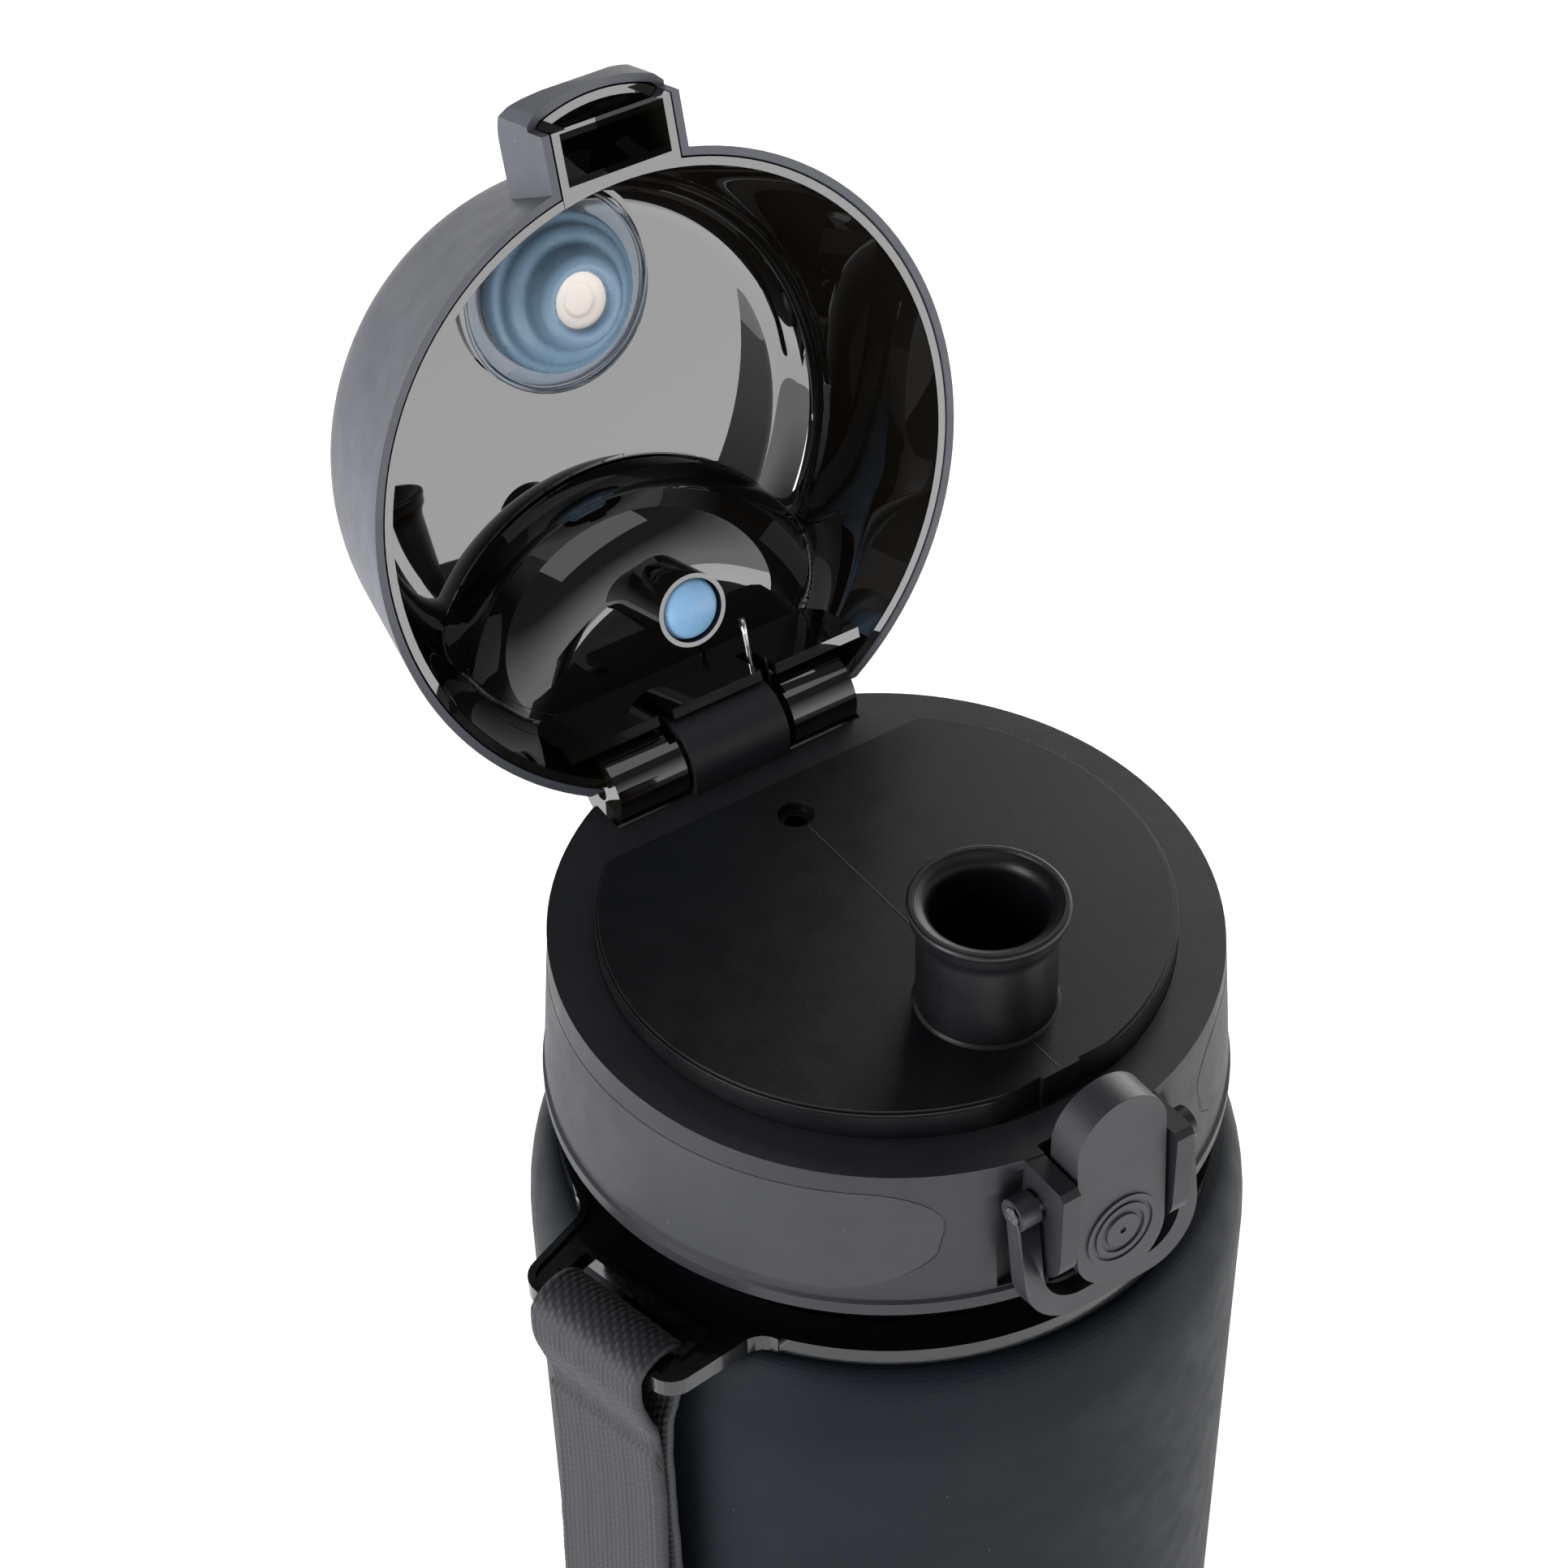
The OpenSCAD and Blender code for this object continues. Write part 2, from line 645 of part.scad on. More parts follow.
module tab_slot(grow) {
    translate([slot_near - grow, -slot_w / 2 - grow])
        square([slot_far - slot_near + grow, slot_w + 2 * grow]);
}

// Raised lips along the tab's edge and round the slot, except where the strap passes.
module tab_lips() {
    difference() {
        union() {
            difference() {
                polygon(tab_edge(0));
                polygon(tab_edge(0.8));
            }
            tab_slot(0.8);
        }
        tab_slot(0);
        translate([ring_r - 20, -20]) square([16.4, 40]);
        translate([slot_far - 0.5, -slot_w / 2]) square([9, slot_w]);
    }
}

module carry_ring() {
    color("#121314") difference() {
        union() {
            translate([0, 0, ring_top - ring_t]) cylinder(r = ring_r, h = ring_t);
            translate([0, 0, ring_top - 0.3]) difference() {
                cylinder(r = ring_r, h = ring_lip + 0.3);
                translate([0, 0, -1]) cylinder(r = ring_r - 0.8, h = 3);
                rotate([0, 0, 180 + tab_turn]) translate([20, -14, -1]) cube([30, 28, 3]);
            }
            rotate([0, 0, 180 + tab_turn]) {
                translate([0, 0, ring_top - ring_t]) linear_extrude(ring_t) polygon(tab_edge(0));
                translate([0, 0, ring_top - 0.3]) linear_extrude(ring_lip + 0.3) tab_lips();
            }
        }
        translate([0, 0, ring_top - 5]) cylinder(r = ring_hole_r, h = 9);
        rotate([0, 0, 180 + tab_turn]) translate([0, 0, ring_top - 5]) linear_extrude(9) tab_slot(0);
    }
}

// Middle line of the hanging strap loop: distance from the bottle's axis, and height.
strap_path = concat(
    arc(bar_mid, ring_top - ring_t / 2, bar_half, ring_t / 2 + 2 * loose + strap_half, 0, 180, 10),
    [[bar_mid - bar_half, ring_top - 4], [bar_mid - 1.9, ring_top - 8], [bar_mid - 0.9, ring_top - 12],
     [bar_mid - 0.75, ring_top - 26], [bar_mid - 1.2, ring_top - 45], [bar_mid - 1.8, ring_top - 80],
     [bar_mid - 2, ring_top - strap_drop + 8]],
    arc(bar_mid + 0.4, ring_top - strap_drop + 3, 2.6, 3, 180, 360, 8),
    [[bar_mid + 3, ring_top - strap_drop + 10], [bar_mid + 2.4, ring_top - 80],
     [bar_mid + 1.5, ring_top - 45], [bar_mid + 0.75, ring_top - 26],
     [bar_mid + 0.9, ring_top - 12], [bar_mid + 1.8, ring_top - 8], [bar_mid + bar_half, ring_top - 4]]);

// A closed path set over to one side by a distance.
function set_over(path, d) = [for (i = [0:len(path) - 1])
    let (n = len(path), a = path[(i + n - 1) % n], b = path[(i + 1) % n], t = (b - a) / norm(b - a))
    path[i] + d * [t[1], -t[0]]];

module strap() {
    color("#1d1e24") rotate([0, 0, 180 + tab_turn]) rotate([90, 0, 0])
        translate([0, 0, -strap_w / 2]) linear_extrude(strap_w) difference() {
            polygon(set_over(strap_path, strap_half));
            polygon(set_over(strap_path, -strap_half));
        }
}

bottle_body();
neck_gasket();
collar();
grip_left();
grip_right();
spout_deck();
hinge_pin();
torsion_spring();
lid_shell();
lid_liner();
spout_plug();
vent_plug();
latch_button();
latch_spring();
latch_pin();
lock_bail();
carry_ring();
strap();
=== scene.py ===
import json
import math
import random

import bmesh
import bpy
import numpy as np
from mathutils import Matrix, Vector


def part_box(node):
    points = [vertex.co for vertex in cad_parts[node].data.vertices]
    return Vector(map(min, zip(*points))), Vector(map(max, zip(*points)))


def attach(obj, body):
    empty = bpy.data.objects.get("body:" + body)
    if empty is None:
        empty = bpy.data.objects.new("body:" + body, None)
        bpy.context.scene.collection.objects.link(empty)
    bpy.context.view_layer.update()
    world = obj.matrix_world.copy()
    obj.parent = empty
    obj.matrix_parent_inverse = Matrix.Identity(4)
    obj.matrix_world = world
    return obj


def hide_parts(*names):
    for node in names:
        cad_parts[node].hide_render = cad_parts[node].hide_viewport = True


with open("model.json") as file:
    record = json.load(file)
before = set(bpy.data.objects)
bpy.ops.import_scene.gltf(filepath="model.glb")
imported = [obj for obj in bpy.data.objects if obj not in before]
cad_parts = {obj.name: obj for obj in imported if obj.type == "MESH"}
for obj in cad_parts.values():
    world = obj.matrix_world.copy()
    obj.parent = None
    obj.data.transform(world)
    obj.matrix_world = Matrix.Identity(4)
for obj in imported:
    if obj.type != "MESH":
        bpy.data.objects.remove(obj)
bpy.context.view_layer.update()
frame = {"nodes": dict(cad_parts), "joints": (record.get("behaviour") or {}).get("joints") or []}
MM = 0.001
RNG = random.Random(7)
JOINTS = {j["name"]: j for j in frame["joints"]}

# Places that the pieces are built from, all taken from the frame.
HINGE = Vector(JOINTS["lid_hinge"]["pos_m"])
LID_OPEN = math.radians(JOINTS["lid_hinge"]["range_deg"][1])
RIM_Z = HINGE.z - 3.0 * MM
DECK_TOP = RIM_Z + 2.3 * MM
RIM_TILT = math.radians(2.13)
SPOUT_Y = -16.7 * MM
VENT_Y = 15.9 * MM
SPOUT_CLEAR = 7.2 * MM
VENT_CLEAR = 2.1 * MM
DECK_FRONT_Y = -28.1 * MM
OPEN_LID = (Matrix.Translation(HINGE) @ Matrix.Rotation(-LID_OPEN, 4, "X")
            @ Matrix.Translation(-HINGE))
LID_RIM = OPEN_LID @ Matrix.Translation((0, 0, RIM_Z)) @ Matrix.Rotation(RIM_TILT, 4, "X")
RING_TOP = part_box("carry_ring")[1].z - 0.5 * MM
TAB_TURN = math.radians(180 + 13)
TAB_OUT = Vector((math.cos(TAB_TURN), math.sin(TAB_TURN), 0))
TAB_ALONG = Vector((-math.sin(TAB_TURN), math.cos(TAB_TURN), 0))
TAB_REACH = max(v.co @ TAB_OUT for v in frame["nodes"]["carry_ring"].data.vertices)


# ---------------------------------------------------------------- camera, lights and floor

def make_camera():
    """A 76 mm lens that looks down at the cap from the front left."""
    azimuth, elevation, roll = (math.radians(a) for a in (-33.277, 41.232, -1.491))
    back = Vector((math.sin(azimuth) * math.cos(elevation),
                   -math.cos(azimuth) * math.cos(elevation), math.sin(elevation)))
    level = Vector((math.cos(azimuth), math.sin(azimuth), 0))
    upright = back.cross(level)
    right = level * math.cos(roll) + upright * math.sin(roll)
    up = upright * math.cos(roll) - level * math.sin(roll)
    aim = Vector((0, 0, RIM_Z)) - right * 10.196 * MM + up * 13.364 * MM
    camera = bpy.data.objects.new("camera", bpy.data.cameras.new("camera"))
    camera.data.sensor_width = 36
    camera.data.lens = 76.18
    camera.data.clip_start = 0.02
    camera.data.clip_end = 20
    axes = Matrix((right, up, back)).transposed().to_4x4()
    camera.matrix_world = Matrix.Translation(aim + back * 333.06 * MM) @ axes
    bpy.context.scene.collection.objects.link(camera)
    bpy.context.scene.camera = camera


def area_light(name, place, target, size, power, colour=(1, 1, 1)):
    """A rectangular softbox that faces its target; power is in watts."""
    data = bpy.data.lights.new(name, "AREA")
    data.shape = "RECTANGLE"
    data.size, data.size_y = size
    data.energy = power
    data.color = colour
    light = bpy.data.objects.new(name, data)
    light.location = place
    light.rotation_euler = (Vector(target) - Vector(place)).to_track_quat("-Z", "Y").to_euler()
    bpy.context.scene.collection.objects.link(light)


def make_studio():
    """White surroundings near the horizon that darken upwards, softboxes and a pale floor."""
    scene = bpy.context.scene
    scene.view_settings.view_transform = "Standard"
    world = bpy.data.worlds.new("studio")
    scene.world = world
    world.use_nodes = True
    tree = world.node_tree
    tree.nodes.clear()
    n = tree.nodes.new
    out = n("ShaderNodeOutputWorld")
    background = n("ShaderNodeBackground")
    coordinates = n("ShaderNodeTexCoord")
    split = n("ShaderNodeSeparateXYZ")
    ramp = n("ShaderNodeValToRGB")
    ramp.color_ramp.elements[0].position = 0.10
    ramp.color_ramp.elements[0].color = (1.0, 1.0, 1.0, 1)
    ramp.color_ramp.elements[1].position = 0.62
    ramp.color_ramp.elements[1].color = (0.07, 0.072, 0.08, 1)
    tree.links.new(coordinates.outputs["Generated"], split.inputs[0])
    tree.links.new(split.outputs["Z"], ramp.inputs[0])
    tree.links.new(ramp.outputs[0], background.inputs[0])
    background.inputs["Strength"].default_value = 1.15
    tree.links.new(background.outputs[0], out.inputs[0])

    centre = Vector((0, 0, RIM_Z))
    warm, cool = (1, 0.985, 0.97), (0.96, 0.98, 1)
    area_light("softbox_right", centre + Vector((0.75, 0.45, 0.30)), centre, (0.5, 0.8), 5, warm)
    area_light("softbox_left", centre + Vector((-0.85, -0.02, 0.16)), centre, (0.35, 0.7), 9, cool)
    area_light("softbox_top", centre + Vector((0.05, -0.15, 1.1)), centre, (0.9, 0.9), 2)

    bpy.ops.mesh.primitive_grid_add(x_subdivisions=8, y_subdivisions=8, size=6)
    floor = bpy.context.object
    floor.name = "floor"
    floor.data.materials.append(glowing_pale_floor())


# ---------------------------------------------------------------- materials

def new_material(name):
    """A material with its node tree and its principled shader."""
    material = bpy.data.materials.new(name)
    material.use_nodes = True
    tree = material.node_tree
    return material, tree, tree.nodes["Principled BSDF"]


def object_noise(tree, scale, detail=3.0, roughness=0.55):
    """Noise in the object's own metres; scale is in features per millimetre."""
    place = tree.nodes.new("ShaderNodeTexCoord")
    noise = tree.nodes.new("ShaderNodeTexNoise")
    noise.inputs["Scale"].default_value = scale / MM
    noise.inputs["Detail"].default_value = detail
    noise.inputs["Roughness"].default_value = roughness
    tree.links.new(place.outputs["Object"], noise.inputs["Vector"])
    return noise.outputs["Fac"]


def remap(tree, value, low, high, from_low=0.3, from_high=0.7):
    """A value stretched from one range to another; noise mostly lies in 0.3 to 0.7."""
    node = tree.nodes.new("ShaderNodeMapRange")
    node.inputs["From Min"].default_value = from_low
    node.inputs["From Max"].default_value = from_high
    node.inputs["To Min"].default_value = low
    node.inputs["To Max"].default_value = high
    tree.links.new(value, node.inputs["Value"])
    return node.outputs["Result"]


def mix_colours(tree, factor, first, second):
    """A colour between two, chosen by the factor socket."""
    node = tree.nodes.new("ShaderNodeMix")
    node.data_type = "RGBA"
    node.inputs["A"].default_value = (*first, 1)
    node.inputs["B"].default_value = (*second, 1)
    tree.links.new(factor, node.inputs["Factor"])
    return node.outputs["Result"]


def add_bump(tree, shader, height, depth_mm):
    """Fine relief on the shader's surface."""
    bump = tree.nodes.new("ShaderNodeBump")
    bump.inputs["Distance"].default_value = depth_mm * MM
    bump.inputs["Strength"].default_value = 1.0
    tree.links.new(height, bump.inputs["Height"])
    tree.links.new(bump.outputs["Normal"], shader.inputs["Normal"])


def add_specks(tree, base, speck_colour, density):
    """Sparse dust specks over a base colour socket."""
    place = tree.nodes.new("ShaderNodeTexCoord")
    cells = tree.nodes.new("ShaderNodeTexVoronoi")
    cells.inputs["Scale"].default_value = density / MM
    tree.links.new(place.outputs["Object"], cells.inputs["Vector"])
    near = remap(tree, cells.outputs["Distance"], 1.0, 0.0, 0.028, 0.05)
    pick = remap(tree, object_noise(tree, 0.35, 1.0), 0.0, 1.0, 0.58, 0.62)
    both = tree.nodes.new("ShaderNodeMath")
    both.operation = "MULTIPLY"
    tree.links.new(near, both.inputs[0])
    tree.links.new(pick, both.inputs[1])
    node = tree.nodes.new("ShaderNodeMix")
    node.data_type = "RGBA"
    node.inputs["B"].default_value = (*speck_colour, 1)
    tree.links.new(both.outputs[0], node.inputs["Factor"])
    tree.links.new(base, node.inputs["A"])
    return node.outputs["Result"]


def moulded(name, dark, light, roughness, grain_mm=0.16, grain_depth=0.02, level=0.5):
    """Spark-textured moulded plastic: a fine grain, soft cloudy gloss and a little dust."""
    material, tree, shader = new_material(name)
    cloud = object_noise(tree, 0.08, 4.0)
    colour = mix_colours(tree, remap(tree, cloud, 0, 1), dark, light)
    dust = tuple(min(1, 5 * c + 0.03) for c in light)
    colour = add_specks(tree, colour, dust, 0.42)
    tree.links.new(colour, shader.inputs["Base Color"])
    tree.links.new(remap(tree, object_noise(tree, 0.25, 5.0), roughness - 0.05, roughness + 0.05),
                   shader.inputs["Roughness"])
    shader.inputs["Specular IOR Level"].default_value = level
    add_bump(tree, shader, object_noise(tree, 1 / grain_mm, 2.0), grain_depth)
    return material


def gloss(name, colour, roughness, level, coat):
    """Polished plastic with faint moulding waves and fine wipe marks in its gloss."""
    material, tree, shader = new_material(name)
    tone = mix_colours(tree, remap(tree, object_noise(tree, 0.1), 0, 1), colour,
                       tuple(1.25 * c for c in colour))
    tree.links.new(tone, shader.inputs["Base Color"])
    tree.links.new(remap(tree, object_noise(tree, 0.7, 6.0, 0.7), roughness * 0.6, roughness * 1.5),
                   shader.inputs["Roughness"])
    shader.inputs["Specular IOR Level"].default_value = level
    shader.inputs["Coat Weight"].default_value = coat
    shader.inputs["Coat Roughness"].default_value = 0.02
    add_bump(tree, shader, object_noise(tree, 0.05, 1.0), 0.01)
    return material


def silicone(name, colour, deep, subsurface, transmission, roughness=0.28):
    """Translucent silicone with a clouded body and a soft skin."""
    material, tree, shader = new_material(name)
    tone = mix_colours(tree, remap(tree, object_noise(tree, 0.12, 2.0), 0, 1), colour, deep)
    tree.links.new(tone, shader.inputs["Base Color"])
    shader.inputs["Subsurface Weight"].default_value = subsurface
    shader.inputs["Subsurface Radius"].default_value = (0.6, 0.9, 1.2)
    shader.inputs["Subsurface Scale"].default_value = 1.6 * MM
    shader.inputs["Transmission Weight"].default_value = transmission
    shader.inputs["IOR"].default_value = 1.41
    tree.links.new(remap(tree, object_noise(tree, 0.3, 2.0), roughness - 0.04, roughness + 0.05),
                   shader.inputs["Roughness"])
    return material


def drawn_steel(name):
    """Bright wire and pin steel with faint drawing marks."""
    material, tree, shader = new_material(name)
    tone = mix_colours(tree, remap(tree, object_noise(tree, 1.2, 5.0), 0, 1),
                       (0.55, 0.55, 0.56), (0.75, 0.74, 0.72))
    tree.links.new(tone, shader.inputs["Base Color"])
    shader.inputs["Metallic"].default_value = 1.0
    tree.links.new(remap(tree, object_noise(tree, 3.0, 4.0), 0.14, 0.3), shader.inputs["Roughness"])
    add_bump(tree, shader, object_noise(tree, 6.0, 2.0), 0.004)
    return material


def webbing_material(name):
    """Dull synthetic yarn with painted light and shade: the tops of the floats are painted lighter
    as a highlight, the gaps between them painted dark as shade.
    """
    material, tree, shader = new_material(name)
    painted_weave_shade = tree.nodes.new("ShaderNodeAttribute")
    painted_weave_shade.attribute_name = "painted_weave_shade"
    # Colour from near black in the gaps to lighter on the float tops: painted shade and painted
    # highlight.
    tone = mix_colours(tree, remap(tree, painted_weave_shade.outputs["Fac"], 0, 1, 0.15, 0.95),
                       (0.0008, 0.0008, 0.0012), (0.015, 0.015, 0.021))
    fuzz = object_noise(tree, 5.0, 3.0)
    shade = tree.nodes.new("ShaderNodeMix")
    shade.data_type = "RGBA"
    shade.blend_type = "MULTIPLY"
    shade.inputs["Factor"].default_value = 0.5
    tree.links.new(tone, shade.inputs["A"])
    tree.links.new(remap(tree, fuzz, 0.6, 1.25), shade.inputs["B"])
    tree.links.new(shade.outputs["Result"], shader.inputs["Base Color"])
    shader.inputs["Roughness"].default_value = 0.62
    shader.inputs["Sheen Weight"].default_value = 0.08
    shader.inputs["Sheen Roughness"].default_value = 0.4
    add_bump(tree, shader, object_noise(tree, 7.0, 2.0), 0.03)
    return material


def glowing_pale_floor():
    """The pale floor, which glows all over and glows brightest in front, where the open lid mirrors
    it: painted light.
    """
    material, tree, shader = new_material("glowing_pale_floor")
    tone = mix_colours(tree, remap(tree, object_noise(tree, 0.004, 3.0), 0, 1),
                       (0.80, 0.80, 0.81), (0.84, 0.84, 0.85))
    tree.links.new(tone, shader.inputs["Base Color"])
    shader.inputs["Roughness"].default_value = 0.8
    # Emission makes the floor glow, strongest in front: painted light.
    shader.inputs["Emission Color"].default_value = (1, 1, 1, 1)
    place = tree.nodes.new("ShaderNodeTexCoord")
    split = tree.nodes.new("ShaderNodeSeparateXYZ")
    tree.links.new(place.outputs["Object"], split.inputs[0])
    glow = remap(tree, split.outputs["Y"], 2.9, 0.62, -0.46, -0.24)
    tree.links.new(glow, shader.inputs["Emission Strength"])
    return material


MATERIALS = {
    "frosted": moulded("frosted_body", (0.0030, 0.0052, 0.0078),
                       (0.0042, 0.0066, 0.0095), 0.50, 0.12, 0.012, level=0.10),
    "collar": moulded("matt_charcoal", (0.008, 0.0085, 0.0105), (0.011, 0.0115, 0.014), 0.46,
                      level=0.36),
    "grip": moulded("soft_grip", (0.014, 0.0145, 0.018), (0.017, 0.0178, 0.021), 0.52, 0.12, 0.015,
                    level=0.38),
    "deck": moulded("satin_black", (0.0025, 0.0025, 0.0035), (0.0035, 0.0035, 0.0045), 0.40, 0.14,
                    0.012, level=0.30),
    "shell": moulded("soft_touch_grey", (0.042, 0.046, 0.058), (0.049, 0.053, 0.066), 0.46, 0.12,
                     0.008, level=0.55),
    "latch": moulded("latch_grey", (0.018, 0.018, 0.022), (0.023, 0.023, 0.028), 0.46, level=0.4),
    "bail": moulded("bail_grey", (0.014, 0.014, 0.018), (0.019, 0.019, 0.023), 0.42, level=0.42),
    "ring": gloss("gloss_ring", (0.0025, 0.0026, 0.003), 0.13, 0.5, 0.25),
    "liner": gloss("gloss_black", (0.0045, 0.0036, 0.0026), 0.012, 1.0, 0.6),
    "plug": silicone("silicone_clear", (0.30, 0.46, 0.62), (0.26, 0.42, 0.58), 0.3, 0.35),
    "flange": silicone("silicone_flange", (0.62, 0.72, 0.82), (0.56, 0.66, 0.78), 0.0, 0.93, 0.12),
    "pad": silicone("silicone_pad", (0.86, 0.78, 0.72), (0.80, 0.74, 0.70), 0.4, 0.0),
    "vent": silicone("silicone_blue", (0.28, 0.50, 0.74), (0.24, 0.45, 0.70), 0.5, 0.0),
    "seal": silicone("silicone_seal", (0.6, 0.62, 0.64), (0.5, 0.52, 0.55), 0.3, 0.0),
    "steel": drawn_steel("steel"),
    "webbing": webbing_material("webbing"),
}

CAD_LOOKS = {
    "bottle_body": "frosted", "neck_gasket": "seal", "collar": "collar", "grip_left": "grip",
    "grip_right": "grip", "spout_deck": "deck", "hinge_pin": "steel", "torsion_spring": "steel",
    "lid_shell": "shell", "lid_liner": "liner", "spout_plug": "plug", "vent_plug": "vent",
    "latch_button": "latch", "latch_spring": "steel", "latch_pin": "steel", "lock_bail": "bail",
    "carry_ring": "ring", "strap": "webbing",
}


def dress_cad_nodes():
    """Each CAD node gets its material, whether or not a finer piece replaces it."""
    for node, look in CAD_LOOKS.items():
        data = frame["nodes"][node].data
        data.materials.clear()
        data.materials.append(MATERIALS[look])


# ---------------------------------------------------------------- mesh helpers

def mesh_piece(name, points, faces, look, body, place=None):
    """A smooth-shaded mesh from points in metres, moved into place and tied to its body."""
    data = bpy.data.meshes.new(name)
    data.from_pydata([tuple(p) for p in points], [], [tuple(f) for f in faces])
    if place is not None:
        data.transform(place)
    data.validate()
    data.polygons.foreach_set("use_smooth", [True] * len(data.polygons))
    data.materials.append(MATERIALS[look])
    piece = bpy.data.objects.new(name, data)
    bpy.context.scene.collection.objects.link(piece)
    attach(piece, body)
    return piece


def revolved(profile, steps=96):
    """Points and faces of a profile of (radius, height) in millimetres turned about Z."""
    points = []
    for i in range(steps):
        a = 2 * math.pi * i / steps
        points += [(r * math.cos(a) * MM, r * math.sin(a) * MM, z * MM) for r, z in profile]
    n = len(profile)
    faces = []
    for i in range(steps):
        j = (i + 1) % steps
        faces += [(i * n + k, j * n + k, j * n + k + 1, i * n + k + 1) for k in range(n - 1)]
    return points, faces


def rounded(corners, radius, steps=5):
    """A profile whose inner corners are rounded; radius is in millimetres, or one per corner."""
    radii = radius if hasattr(radius, "__len__") else [radius] * len(corners)
    path = [Vector(corners[0])]
    for i in range(1, len(corners) - 1):
        here = Vector(corners[i])
        before = (Vector(corners[i - 1]) - here)
        after = (Vector(corners[i + 1]) - here)
        reach = min(radii[i], 0.48 * before.length, 0.48 * after.length)
        start = here + before.normalized() * reach
        end = here + after.normalized() * reach
        for k in range(steps + 1):
            t = k / steps
            path.append(start * (1 - t) ** 2 + here * 2 * t * (1 - t) + end * t ** 2)
    path.append(Vector(corners[-1]))
    return [tuple(p) for p in path]


def wire_tube(path, radius, sides=14):
    """Points and faces of a round wire along a path, with closed ends."""
    points, faces = [], []
    side = Vector((0, 0, 1))
    for i, here in enumerate(path):
        ahead = (path[min(i + 1, len(path) - 1)] - path[max(i - 1, 0)]).normalized()
        side = (side - ahead * side.dot(ahead)).normalized()
        other = ahead.cross(side)
        for k in range(sides):
            a = 2 * math.pi * k / sides
            points.append(here + (side * math.cos(a) + other * math.sin(a)) * radius)
    for i in range(len(path) - 1):
        for k in range(sides):
            m = (k + 1) % sides
            faces.append((i * sides + k, i * sides + m, (i + 1) * sides + m, (i + 1) * sides + k))
    faces.append(tuple(range(sides - 1, -1, -1)))
    last = (len(path) - 1) * sides
    faces.append(tuple(range(last, last + sides)))
    return points, faces


def softened(node, look, body, width):
    """The node's own shape with its edges rounded over, shown in place of the node."""
    name = node + "_rounded"
    flat_degrees, edge_degrees = 0.6, 28
    data = frame["nodes"][node].data.copy()
    data.name = name
    edit = bmesh.new()
    edit.from_mesh(data)
    bmesh.ops.remove_doubles(edit, verts=edit.verts, dist=0.002 * MM)
    bmesh.ops.dissolve_limit(edit, angle_limit=math.radians(flat_degrees), verts=edit.verts,
                             edges=edit.edges)
    edit.to_mesh(data)
    edit.free()
    data.materials.clear()
    data.materials.append(MATERIALS[look])
    data.polygons.foreach_set("use_smooth", [True] * len(data.polygons))
    piece = bpy.data.objects.new(name, data)
    bpy.context.scene.collection.objects.link(piece)
    bevel = piece.modifiers.new("bevel", "BEVEL")
    bevel.width = width * MM
    bevel.segments = 3
    bevel.limit_method = "ANGLE"
    bevel.angle_limit = math.radians(edge_degrees)
    bevel.use_clamp_overlap = True
    bevel.miter_outer = "MITER_ARC"
    normals = piece.modifiers.new("normals", "WEIGHTED_NORMAL")
    normals.keep_sharp = False
    normals.weight = 80
    bpy.context.view_layer.objects.active = piece
    for modifier in list(piece.modifiers):
        with bpy.context.temp_override(object=piece, active_object=piece, selected_objects=[piece]):
            bpy.ops.object.modifier_apply(modifier=modifier.name)
    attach(piece, body)
    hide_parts(node)


# ---------------------------------------------------------------- the open lid

# The liner's inside, in millimetres over the lid's rim: the dished shelf, then the vault.
SHELF_H, SHELF_R, SHELF_Y, SHELF_ROUND = 9.6, 25.4, 30.0, 10.0
CEILING, WALL_FOOT_R, WALL_SLOPE, CEILING_ROUND = 20.0, 32.1, 4.8 / 19, 5.0


def soft_min(a, b, blend):
    """The lower of two heights, with the corner between them rounded."""
    t = np.clip(0.5 + 0.5 * (b - a) / blend, 0, 1)
    return b * (1 - t) + a * t - blend * t * (1 - t)


def liner_height(x, y):
    """Height of the liner's inner surface over the rim, in millimetres."""
    reach = np.hypot(x, y)
    bend_r = WALL_FOOT_R - WALL_SLOPE * (CEILING - CEILING_ROUND) - CEILING_ROUND
    over = np.clip(reach - bend_r, 0, CEILING_ROUND * 0.9999)
    vault = CEILING - CEILING_ROUND + np.sqrt(CEILING_ROUND ** 2 - over ** 2)
    wall = (WALL_FOOT_R - reach) / WALL_SLOPE
    vault = np.where(reach > bend_r + CEILING_ROUND * 0.97, np.minimum(vault, wall), vault)
    away = np.hypot(x, y - SHELF_Y)
    slope = np.clip((away - SHELF_R + SHELF_ROUND) / SHELF_ROUND, 0, 1)
    shelf = CEILING - (CEILING - SHELF_H) * np.sqrt(1 - slope ** 2)
    shelf = np.where(away > SHELF_R, CEILING + 3, shelf)
    return soft_min(vault, shelf, 0.25)


def ray_length(half, radius):
    """How far a ray from the shelf's centre runs to a circle round the lid's middle."""
    return -half + math.sqrt(max(half * half - SHELF_Y ** 2 + radius * radius, 0))


